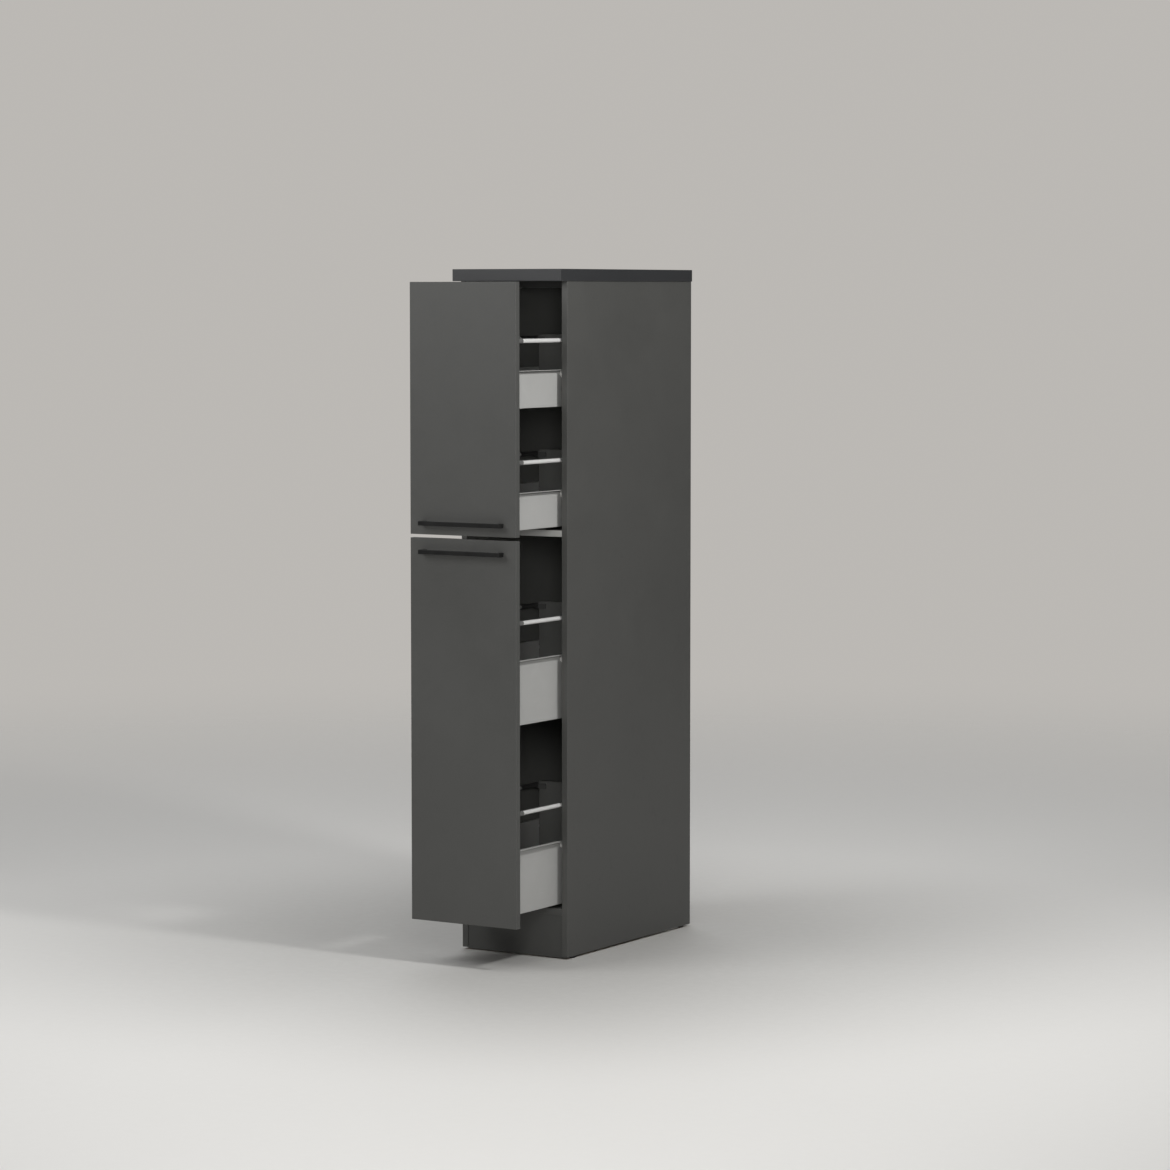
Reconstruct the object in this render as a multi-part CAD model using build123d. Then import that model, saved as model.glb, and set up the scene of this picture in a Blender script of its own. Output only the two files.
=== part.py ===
from build123d import *
import os

os.makedirs("parts", exist_ok=True)

# Pull-out spice column: a tall narrow cabinet with two front panels that pull
# out one above the other.  Each front carries two metal-sided drawers with a
# round gallery rail, and each drawer side runs on nylon rollers in a steel
# rail.  The model stands open: both fronts are drawn out by pull_out.
#
# Working frame while modelling (mm): X right, Y towards the wall (the rear of
# the cabinet is Y = 0 and the fronts are at negative Y), Z up from the floor.
# On export everything is shifted in Y so that the origin is the centre of the
# outer box at floor level.

# ---------------------------------------------------------------- dimensions
height = 1610.0            # floor to worktop
top_w = 300.0              # worktop width
top_d = 600.0              # worktop depth
top_t = 28.0               # worktop thickness
board = 15.0               # carcass board thickness
body_w = 294.0             # outside width of the carcass
body_d = 568.0             # carcass depth
glide_h = 5.0              # floor glides
glide_r = 7.0
floor_z = 103.0            # underside of the bottom panel
shelf_z = 990.0            # underside of the fixed middle shelf
plinth_z = 2.5             # plinth clear of the floor
plinth_set = 2.0           # plinth set back from the carcass edge
back_t = 3.0               # back panel
wall_rail_h = 100.0        # hanging rail behind the back panel
wall_hole_r = 3.0
wall_hole_x = 80.0         # half the spacing of the wall screws

front_w = 290.0
front_t = 16.0
upper_z0, upper_z1 = 1000.0, 1580.0
lower_z0, lower_z1 = 102.0, 992.0
pull_out = 200.0           # carcass edge to the back of each front

handle_half = 111.0        # half the handle's length
handle_proj = 20.0
handle_bar_t = 7.0
handle_bar_h = 10.0
handle_foot = 12.0         # length of each foot along the bar
upper_handle_z = 1026.5
lower_handle_z = 960.5

sheet = 1.2                # drawer side steel
wall_in = 116.5            # inner face of a drawer side
rim_out = 128.9            # outer edge of its rim, the flange that the roller carries
rim_clear = 3.4            # rail's top below the rim's
flange_in = 102.5          # inner edge of the flange under the bottom board
side_len = 506.0
bottom_t = 16.0
back_board_t = 15.0
back_over = 10.0           # back board above the gallery rail's axis
tube_x = 122.7             # gallery rail
tube_r = 5.0
tube_wall = 1.0
collar_len = 43.0          # front socket: plate, boss and a long collar
sleeve_len = 75.0          # rear socket: the rail's length is set in this sleeve
# one drawer: underside of the side, top of the rim, axis of the gallery rail
drawers = {
    1: (1291.5, 1377.5, 1445.5),
    2: (1013.0, 1099.0, 1168.0),
    3: (564.5, 714.5, 800.5),
    4: (127.5, 277.5, 362.3),
}

rail_len = 500.0           # cabinet rail
rail_front = 2.0           # set back from the carcass edge
rail_t = 1.2
fixed_r = 8.0              # roller on the cabinet rail
fixed_y = -549.0
moving_r = 8.8             # roller on the drawer side
pin_r = 2.5
run_gap = 0.05             # radial clearance of a roller on its pin
roll_gap = 0.3             # roller clear of its track

# ------------------------------------------------------------------ derived
half = body_w / 2
inner = half - board
carcass_top = height - top_t
body_y = -body_d
front_back = body_y - pull_out            # rear face of a front
front_face = front_back - front_t
handle_face = front_face - handle_proj
shift_y = -handle_face / 2                # outer box centred on Y = 0
side_y0 = front_back
side_y1 = side_y0 + side_len
back_y0 = side_y1 - back_board_t
moving_y = side_y1 - 15.0


# ------------------------------------------------------------------ helpers
def block(x0, x1, y0, y1, z0, z1, r=0.0):
    s = Pos((x0 + x1) / 2, (y0 + y1) / 2, (z0 + z1) / 2) * Box(
        abs(x1 - x0), abs(y1 - y0), abs(z1 - z0))
    if r:
        s = fillet(s.edges(), r)
    return s


def rod_x(x0, x1, y, z, r):
    return Pos((x0 + x1) / 2, y, z) * Rot(0, 90, 0) * Cylinder(r, abs(x1 - x0))


def rod_y(x, y0, y1, z, r):
    return Pos(x, (y0 + y1) / 2, z) * Rot(90, 0, 0) * Cylinder(r, abs(y1 - y0))


def rod_z(x, y, z0, z1, r):
    return Pos(x, y, (z0 + z1) / 2) * Cylinder(r, abs(z1 - z0))


def prism_y(pts, y0, y1, bends=()):
    """Profile in XZ drawn along Y; bends are (x, z, radius) at its corners."""
    f = make_face(Polyline(*[(x, y0, z) for x, z in pts], close=True))
    f = f.face()
    for x, z, r in bends:
        v = [p for p in f.vertices() if abs(p.X - x) < 1e-4 and abs(p.Z - z) < 1e-4]
        f = f.fillet_2d(r, v)
    return extrude(f, amount=y1 - y0, dir=(0, 1, 0))


def flip(s):
    return mirror(s, about=Plane.YZ)


def both(s):
    return [s, flip(s)]


def group(items):
    out = []
    for i in items:
        out += list(i.solids())
    return Compound(children=[Solid(s.wrapped) for s in out])


def save(name, shape):
    shape = shape.moved(Location((0, shift_y, 0)))
    export_step(shape, "parts/" + name + ".step")


# pan-head screws: under the head at the origin of the call, pointing into the
# wood; each returns the screw and the pilot that the wood needs
HEAD_R, HEAD_T = 3.5, 1.6
WALL_HEAD_T = 1.0          # flatter heads where a drawer side passes the rail
SHANK_R = 1.7


def screw_x(x, y, z, into, length, head_t=HEAD_T):
    """into = +1 or -1: the way the screw points along X."""
    head = rod_x(x - into * head_t, x, y, z, HEAD_R)
    head = chamfer(head.edges().group_by(Axis.X)[0 if into > 0 else -1], 0.6)
    shank = rod_x(x, x + into * length, y, z, SHANK_R)
    return head + shank, rod_x(x, x + into * (length + 1), y, z, SHANK_R + 0.05)


def screw_y(x, y, z, into, length, head_t=HEAD_T):
    head = rod_y(x, y - into * head_t, y, z, HEAD_R)
    head = chamfer(head.edges().group_by(Axis.Y)[0 if into > 0 else -1], 0.6)
    shank = rod_y(x, y, y + into * length, z, SHANK_R)
    return head + shank, rod_y(x, y, y + into * (length + 1), z, SHANK_R + 0.05)


def screw_z(x, y, z, into, length, head_t=HEAD_T):
    head = rod_z(x, y, z - into * head_t, z, HEAD_R)
    head = chamfer(head.edges().group_by(Axis.Z)[0 if into > 0 else -1], 0.6)
    shank = rod_z(x, y, z, z + into * length, SHANK_R)
    return head + shank, rod_z(x, y, z, z + into * (length + 1), SHANK_R + 0.05)


# ============================================================== the carcass
side_cuts = []             # everything drilled in the right side panel
bottom_cuts, shelf_cuts, stretcher_cuts = [], [], []
rail_cuts, plinth_cuts, top_cuts = [], [], []
cam_housings, cam_bolts, dowels = [], [], []

CAM_R, CAM_H, CAM_IN = 7.5, 12.0, 24.0


def cam_joint(y, z0, cuts):
    """Cam fitting in both ends of a lying board whose underside is z0."""
    zc = z0 + board / 2
    cx = inner - CAM_IN
    housing = rod_z(cx, y, z0, z0 + CAM_H, CAM_R)
    housing -= rod_x(cx, cx + CAM_R + 1, y, zc, 4.1)
    housing -= block(cx - 5, cx + 5, y - 0.6, y + 0.6, z0 - 1, z0 + 1.5)
    bolt = rod_x(cx + 0.6, cx + 4.0, y, zc, 3.9)
    bolt += rod_x(cx + 4.0, inner, y, zc, 3.0)
    bolt += rod_x(inner, inner + 10, y, zc, 2.5)
    cam_housings.extend(both(housing))
    cam_bolts.extend(both(bolt))
    cuts.extend(both(rod_z(cx, y, z0 - 1, z0 + CAM_H + 0.1, CAM_R + 0.05)))
    cuts.extend(both(rod_x(cx, inner + 1, y, zc, 4.1)))
    side_cuts.append(rod_x(inner - 1, inner + 10.5, y, zc, 2.55))


def dowel_joint(y, z, cuts):
    d = rod_x(inner - 20, inner + 10, y, z, 4.0)
    d = chamfer(d.edges(), 0.8)
    dowels.extend(both(d))
    cuts.extend(both(rod_x(inner - 20.5, inner + 1, y, z, 4.05)))
    side_cuts.append(rod_x(inner - 1, inner + 10.5, y, z, 4.05))


for y in (-500.0, -90.0):
    cam_joint(y, floor_z, bottom_cuts)
    cam_joint(y, shelf_z, shelf_cuts)
for y in (-420.0, -170.0):
    dowel_joint(y, floor_z + board / 2, bottom_cuts)
    dowel_joint(y, shelf_z + board / 2, shelf_cuts)

stretch_z = carcass_top - board
stretch_w = 90.0
front_stretch_y = body_y + 110.0
rear_stretch_y = -18.3 - stretch_w
for y0 in (front_stretch_y, rear_stretch_y):
    cam_joint(y0 + 62.0, stretch_z, stretcher_cuts)
    dowel_joint(y0 + 25.0, stretch_z + board / 2, stretcher_cuts)

for z in (carcass_top - 25.0, carcass_top - wall_rail_h + 25.0):
    dowel_joint(-board / 2, z, rail_cuts)
plinth_y = body_y + plinth_set
for z in (30.0, 80.0):
    dowel_joint(plinth_y + board / 2, z, plinth_cuts)

# worktop screws up through the stretchers
worktop_screws = []
for y0 in (front_stretch_y, rear_stretch_y):
    for x in (-80.0, 80.0):
        s, c = screw_z(x, y0 + stretch_w / 2, stretch_z, 1, board + 13.0)
        worktop_screws.append(s)
        stretcher_cuts.append(c)
        top_cuts.append(c)

# floor glides: a disc with a spigot pressed into the side panel's lower edge
glides = []
for y in (-535.0, -33.0):
    g = chamfer(rod_z(half - board / 2, y, 0, glide_h, glide_r).edges().group_by(Axis.Z)[0], 1.0)
    g += rod_z(half - board / 2, y, glide_h, glide_h + 14.0, 2.5)
    glides.extend(both(g))
    side_cuts.append(rod_z(half - board / 2, y, glide_h - 1, glide_h + 14.5, 2.55))

# cabinet rails, their screws and the rollers' pins
rails, rail_screws, rail_pins = [], [], []
fixed_rollers, moving_rollers, moving_pins = {}, {}, {}
rail_y0 = body_y + rail_front
rail_y1 = rail_y0 + rail_len
rail_screw_y = (-531.0, -307.0, -115.0)
side_wall_out = wall_in + sheet
for n, (zb, zr, zt) in drawers.items():
    zl = zr - 26.0                      # underside of the rail
    zu = zr - rim_clear                 # its top
    xi, xo = 119.0, inner
    c_profile = [(xi, zl), (xo, zl), (xo, zu), (xi + 2.5, zu), (xi + 2.5, zu - rail_t),
                 (xo - rail_t, zu - rail_t), (xo - rail_t, zl + rail_t), (xi + rail_t, zl + rail_t),
                 (xi + rail_t, zl + 5.0), (xi, zl + 5.0)]
    rail = prism_y(c_profile, rail_y0, rail_y1,
                   [(xo, zl, 1.5), (xo, zu, 1.5), (xi, zl, 1.5)])
    # both flanges stop short of the front roller, and only the web goes on as
    # the ear that carries it, with its corners cut off
    rail -= block(xi - 1, xo - rail_t, rail_y0 - 1, fixed_y + fixed_r + 4.0, zu - rail_t - 0.1, zu + 1)
    rail -= block(xi - 1, xo - rail_t, rail_y0 - 1, fixed_y + fixed_r + 3.0, zl - 1, zl + 6.0)
    for zc in (zl, zu):
        rail -= Pos(xo, rail_y0, zc) * Rot(45, 0, 0) * Box(6, 9, 9)
    fixed_z = zr - sheet - roll_gap - fixed_r
    moving_z = zl + rail_t + 0.2 + moving_r
    screws = []
    for y in rail_screw_y:
        s, c = screw_x(xo - rail_t, y, moving_z, 1, 11.0)
        rail -= rod_x(xo - rail_t - 1, xo + 1, y, moving_z, SHANK_R + 0.3)
        screws.append(s)
        side_cuts.append(rod_x(inner - 1, inner + 11.0, y, moving_z, SHANK_R + 0.05))
    rail_screws.extend(screws)
    rail -= rod_x(xo - rail_t - 1, xo + 1, fixed_y, fixed_z, pin_r - 0.4)
    rails.append(rail)
    # roller on the rail, under the drawer's rim
    fx0, fx1 = 119.6, 127.2
    roller = rod_x(fx0, fx1, fixed_y, fixed_z, fixed_r)
    roller = chamfer(roller.edges(), 0.6)
    roller -= rod_x(fx0 - 1, fx1 + 1, fixed_y, fixed_z, pin_r + run_gap)
    roller -= rod_x(fx0 - 1, fx0 + 1.3, fixed_y, fixed_z, 4.3)
    fixed_rollers[n] = both(roller)
    pin = rod_x(fx0 + 0.1, fx0 + 1.2, fixed_y, fixed_z, 3.9)
    pin += rod_x(fx0 + 1.0, xo - rail_t - 2.0, fixed_y, fixed_z, pin_r)
    pin += rod_x(xo - rail_t - 2.0, xo - rail_t, fixed_y, fixed_z, 4.0)
    pin += rod_x(xo - rail_t, xo, fixed_y, fixed_z, pin_r - 0.45)
    rail_pins.extend(both(pin))
    # roller on the drawer side, inside the rail
    mx0, mx1 = 120.6, 128.2
    roller = rod_x(mx0, mx1, moving_y, moving_z, moving_r)
    roller = chamfer(roller.edges(), 0.6)
    roller -= rod_x(mx0 - 1, mx1 + 1, moving_y, moving_z, pin_r + run_gap)
    roller -= rod_x(mx1 - 1.3, mx1 + 1, moving_y, moving_z, 4.3)
    moving_rollers[n] = both(roller)
    pin = rod_x(mx1 - 1.2, mx1 - 0.1, moving_y, moving_z, 3.9)
    pin += rod_x(side_wall_out + 1.5, mx1 - 1.0, moving_y, moving_z, pin_r)
    pin += rod_x(side_wall_out, side_wall_out + 1.5, moving_y, moving_z, 4.0)
    pin += rod_x(wall_in, side_wall_out, moving_y, moving_z, pin_r - 0.45)
    pin += rod_x(wall_in - 0.8, wall_in, moving_y, moving_z, 3.6)
    moving_pins[n] = (both(pin), moving_z)

# the boards
side = block(inner, half, body_y, 0, glide_h, carcass_top)
side = fillet(side.edges().filter_by(Axis.Z).group_by(Axis.Y)[0], 0.7)
side_cuts.append(block(inner - 1, inner + 6.0, -18.2, -15.0, glide_h - 1, carcass_top + 1))
side -= side_cuts

def eased(s, r):
    """Rounds the two long front edges of a lying or standing board."""
    return fillet(s.edges().filter_by(Axis.X).group_by(Axis.Y)[0], r)


bottom = eased(block(-inner, inner, body_y, -18.3, floor_z, floor_z + board), 0.7) - bottom_cuts
strip_t = 1.0
shelf = block(-inner, inner, body_y + strip_t, -18.3, shelf_z, shelf_z + board) - shelf_cuts
shelf_strip = eased(block(-inner, inner, body_y, body_y + strip_t, shelf_z, shelf_z + board), 0.7)
stretchers = group([
    block(-inner, inner, y0, y0 + stretch_w, stretch_z, carcass_top) - stretcher_cuts
    for y0 in (front_stretch_y, rear_stretch_y)])
wall_holes = [rod_y(x, -30, 10, carcass_top - wall_rail_h / 2, wall_hole_r)
              for x in (-wall_hole_x, wall_hole_x)]
wall_rail = block(-inner, inner, -board, 0, carcass_top - wall_rail_h, carcass_top) - (rail_cuts + wall_holes)
back = block(-inner - 5.7, inner + 5.7, -15.1 - back_t, -15.1, 90.0, carcass_top - 0.3) - wall_holes
plinth = eased(block(-inner, inner, plinth_y, plinth_y + board, plinth_z, floor_z), 0.7) - plinth_cuts

worktop = block(-top_w / 2, top_w / 2, -top_d, 0, carcass_top, height)
worktop = fillet(worktop.edges(), 1.0)
worktop -= top_cuts

save("side_panel_right", side)
save("side_panel_left", flip(side))
save("bottom_panel", bottom)
save("middle_shelf", shelf)
save("middle_shelf_edge_strip", shelf_strip)
save("top_stretchers", stretchers)
save("wall_rail", wall_rail)
save("back_panel", back)
save("plinth_board", plinth)
save("worktop", worktop)
save("floor_glides", group(glides))
save("worktop_screws", group(worktop_screws))
save("cam_housings", group(cam_housings))
save("cam_bolts", group(cam_bolts))
save("wood_dowels", group(dowels))
save("cabinet_rails_right", group(rails))
save("cabinet_rails_left", group([flip(r) for r in rails]))
save("cabinet_rail_screws", group(rail_screws + [flip(s) for s in rail_screws]))
save("cabinet_roller_pins", group(rail_pins))
for n in drawers:
    save("cabinet_rollers_%d" % n, group(fixed_rollers[n]))
    save("drawer_rollers_%d" % n, group(moving_rollers[n]))


# ============================================================ the pull-outs
def pull_out_unit(name, z0, z1, handle_z, numbers):
    screws = []                        # alike pan-head screws
    front_cuts = []

    # handle: bar with a foot at each end
    bar = block(-handle_half + 2, handle_half - 2, handle_face, handle_face + handle_bar_t,
                handle_z - handle_bar_h / 2, handle_z + handle_bar_h / 2)
    bar = fillet(bar.edges().filter_by(Axis.X), 1.2)
    foot = block(handle_half - handle_foot, handle_half, handle_face, front_face,
                 handle_z - handle_bar_h / 2, handle_z + handle_bar_h / 2)
    foot = fillet(foot.edges().filter_by(Axis.Y) + foot.edges().group_by(Axis.Y)[0], 1.2)
    handle = bar + foot + flip(foot)
    hx = handle_half - handle_foot / 2
    handle_screws = []
    for x in (-hx, hx):
        handle -= rod_y(x, front_face - 14.0, front_face + 1, handle_z, 2.0)
        head_y = front_back - 3.0
        s = rod_y(x, head_y, head_y + 2.4, handle_z, 4.0)
        s = chamfer(s.edges().group_by(Axis.Y)[-1], 0.7)
        s += rod_y(x, front_face - 13.0, head_y, handle_z, 1.95)
        handle_screws.append(s)
        front_cuts.append(rod_y(x, front_face - 1, front_back + 1, handle_z, 2.2))
        front_cuts.append(rod_y(x, head_y, front_back + 1, handle_z, 4.4))

    brackets, sockets, tubes, pins = [], [], [], []
    for n in numbers:
        zb, zr, zt = drawers[n]
        # bent steel side: inward flange, wall, outward rim with a rounded edge
        prof = [(flange_in, zb), (side_wall_out, zb), (side_wall_out, zr - sheet),
                (rim_out, zr - sheet), (rim_out, zr), (wall_in, zr),
                (wall_in, zb + sheet), (flange_in, zb + sheet)]
        wall = prism_y(prof, side_y0, side_y1,
                       [(side_wall_out, zb, 1.4), (side_wall_out, zr - sheet, 0.25),
                        (rim_out, zr - sheet, 0.5), (rim_out, zr, 0.5),
                        (wall_in, zr, 1.4), (wall_in, zb + sheet, 0.25)])
        cuts = []
        # bottom board on the flanges, back board behind it
        bx = wall_in - 0.3
        bottom_board = block(-bx, bx, side_y0 + 1.0, back_y0 - 0.2, zb + sheet, zb + sheet + bottom_t)
        back_board = block(-bx, bx, back_y0, side_y1, zb + sheet, zt + back_over)
        back_board = fillet(back_board.edges().group_by(Axis.Z)[-1], 0.7)
        bottom_board_cuts, back_cuts = [], []
        for y in (side_y0 + 60.0, back_y0 - 60.0):
            s, c = screw_z(flange_in + 6.0, y, zb, 1, 13.0)
            screws.extend(both(s))
            cuts.append(rod_z(flange_in + 6.0, y, zb - 1, zb + sheet + 1, SHANK_R + 0.3))
            bottom_board_cuts.extend(both(c))
        for z in (zb + 28.0, zb + 48.0):
            s, c = screw_x(side_wall_out, back_y0 + back_board_t / 2, z, -1, 14.0, WALL_HEAD_T)
            screws.extend(both(s))
            cuts.append(rod_x(wall_in - 1, side_wall_out + 1, back_y0 + back_board_t / 2, z, SHANK_R + 0.3))
            back_cuts.extend(both(c))
        # front bracket: one leg on the front, one along the wall
        b0, b1 = zb + sheet + bottom_t + 3.0, zr - 8.0
        brk = block(96.0, wall_in, front_back, front_back + 2.0, b0, b1)
        brk += block(wall_in - 2.0, wall_in, front_back, front_back + 34.0, b0, b1)
        brk = fillet(brk.edges().filter_by(Axis.X).group_by(Axis.Y)[-1], 6.0)
        for z in (b0 + 10.0, b1 - 10.0):
            s, c = screw_y(104.0, front_back + 2.0, z, -1, 13.0)
            screws.extend(both(s))
            brk -= rod_y(104.0, front_back - 1, front_back + 3, z, SHANK_R + 0.3)
            front_cuts.extend(both(c))
            s, c = screw_x(side_wall_out, front_back + 22.0, z, -1, 4.2, WALL_HEAD_T)
            screws.extend(both(s))
            brk -= rod_x(wall_in - 3, side_wall_out, front_back + 22.0, z, SHANK_R + 0.05)
            cuts.append(rod_x(wall_in - 1, side_wall_out + 1, front_back + 22.0, z, SHANK_R + 0.3))
        brackets.extend(both(brk))
        # pin of the roller at the rear end
        (pin_pair, pz) = moving_pins[n]
        pins.extend(pin_pair)
        cuts.append(rod_x(wall_in - 1, side_wall_out + 1, moving_y, pz, pin_r - 0.4))
        # the rear board clears the pin's rivet head
        back_cuts.extend(both(rod_x(wall_in - 1.2, wall_in, moving_y, pz, 4.0)))
        wall -= cuts
        bottom_board -= bottom_board_cuts
        # gallery rail in a socket at each end
        fs = block(tube_x - 6.0, tube_x + 6.0, front_back, front_back + 3.0, zt - 17.0, zt + 17.0)
        fs = fillet(fs.edges().filter_by(Axis.Y), 3.0)
        fs += rod_y(tube_x, front_back, front_back + 24.0, zt, 6.4)
        collar = rod_y(tube_x, front_back + 20.0, front_back + collar_len, zt, 5.9)
        fs += chamfer(collar.edges().group_by(Axis.Y)[-1], 0.4)
        fs -= rod_y(tube_x, front_back + 4.0, front_back + collar_len + 1.0, zt, tube_r + 0.05)
        for dz in (-12.0, 12.0):
            s, c = screw_y(tube_x, front_back + 3.0, zt + dz, -1, 13.0)
            screws.extend(both(s))
            fs -= rod_y(tube_x, front_back - 1, front_back + 4, zt + dz, SHANK_R + 0.3)
            front_cuts.extend(both(c))
        rs = block(96.0, tube_x + 6.4, back_y0 - 4.0, back_y0, zt - 9.0, zt + 4.0)
        rs = fillet(rs.edges().filter_by(Axis.Y), 3.0)
        rs += rod_y(tube_x, back_y0 - 18.0, back_y0, zt, 6.4)
        sleeve = rod_y(tube_x, back_y0 - sleeve_len, back_y0 - 14.0, zt, 5.9)
        rs += chamfer(sleeve.edges().group_by(Axis.Y)[0], 0.4)
        rs -= rod_y(tube_x, back_y0 - sleeve_len - 1.0, back_y0 - 4.0, zt, tube_r + 0.05)
        # its screw comes from behind, through the back board
        s, c = screw_y(103.0, side_y1, zt - 2.5, -1, back_board_t + 3.4)
        screws.extend(both(s))
        rs -= rod_y(103.0, back_y0 - 3.6, back_y0 + 1, zt - 2.5, SHANK_R + 0.05)
        back_cuts.extend(both(rod_y(103.0, back_y0 - 1, side_y1 + 1, zt - 2.5, SHANK_R + 0.3)))
        sockets.extend(both(fs) + both(rs))
        back_board -= back_cuts
        tube = rod_y(tube_x, front_back + 4.2, back_y0 - 4.2, zt, tube_r)
        tube -= rod_y(tube_x, front_back + 3, back_y0 - 3, zt, tube_r - tube_wall)
        tubes.extend(both(tube))
        save("drawer_%d_side_right" % n, wall)
        save("drawer_%d_side_left" % n, flip(wall))
        save("drawer_%d_bottom" % n, bottom_board)
        save("drawer_%d_back" % n, back_board)

    front = block(-front_w / 2, front_w / 2, front_face, front_back, z0, z1)
    front = fillet(front.edges(), 0.9)
    front -= front_cuts
    save(name + "_front", front)
    save(name + "_handle", handle)
    save(name + "_handle_screws", group(handle_screws))
    save(name + "_front_brackets", group(brackets))
    save(name + "_rail_sockets", group(sockets))
    save(name + "_gallery_rails", group(tubes))
    save(name + "_drawer_screws", group(screws))
    save(name + "_roller_pins", group(pins))


pull_out_unit("upper", upper_z0, upper_z1, upper_handle_z, (1, 2))
pull_out_unit("lower", lower_z0, lower_z1, lower_handle_z, (3, 4))
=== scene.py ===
import math

import bmesh
import bpy
from mathutils import Matrix, Vector


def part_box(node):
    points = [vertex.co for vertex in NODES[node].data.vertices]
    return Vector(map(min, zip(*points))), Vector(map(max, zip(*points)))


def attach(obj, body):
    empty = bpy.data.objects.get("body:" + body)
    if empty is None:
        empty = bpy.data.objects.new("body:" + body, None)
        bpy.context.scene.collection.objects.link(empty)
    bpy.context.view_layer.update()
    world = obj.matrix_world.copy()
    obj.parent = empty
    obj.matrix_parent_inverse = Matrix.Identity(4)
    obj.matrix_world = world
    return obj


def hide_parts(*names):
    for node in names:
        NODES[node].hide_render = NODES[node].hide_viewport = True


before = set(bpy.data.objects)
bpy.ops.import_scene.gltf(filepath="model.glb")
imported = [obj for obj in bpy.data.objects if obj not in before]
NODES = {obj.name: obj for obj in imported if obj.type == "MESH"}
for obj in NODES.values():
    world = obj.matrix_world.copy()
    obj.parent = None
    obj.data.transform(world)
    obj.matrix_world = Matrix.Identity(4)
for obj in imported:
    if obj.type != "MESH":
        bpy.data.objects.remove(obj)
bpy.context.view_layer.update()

scene = bpy.context.scene

# Lengths are metres: X right, the fronts open towards -Y, Z up from the floor.
MM = 0.001


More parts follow.
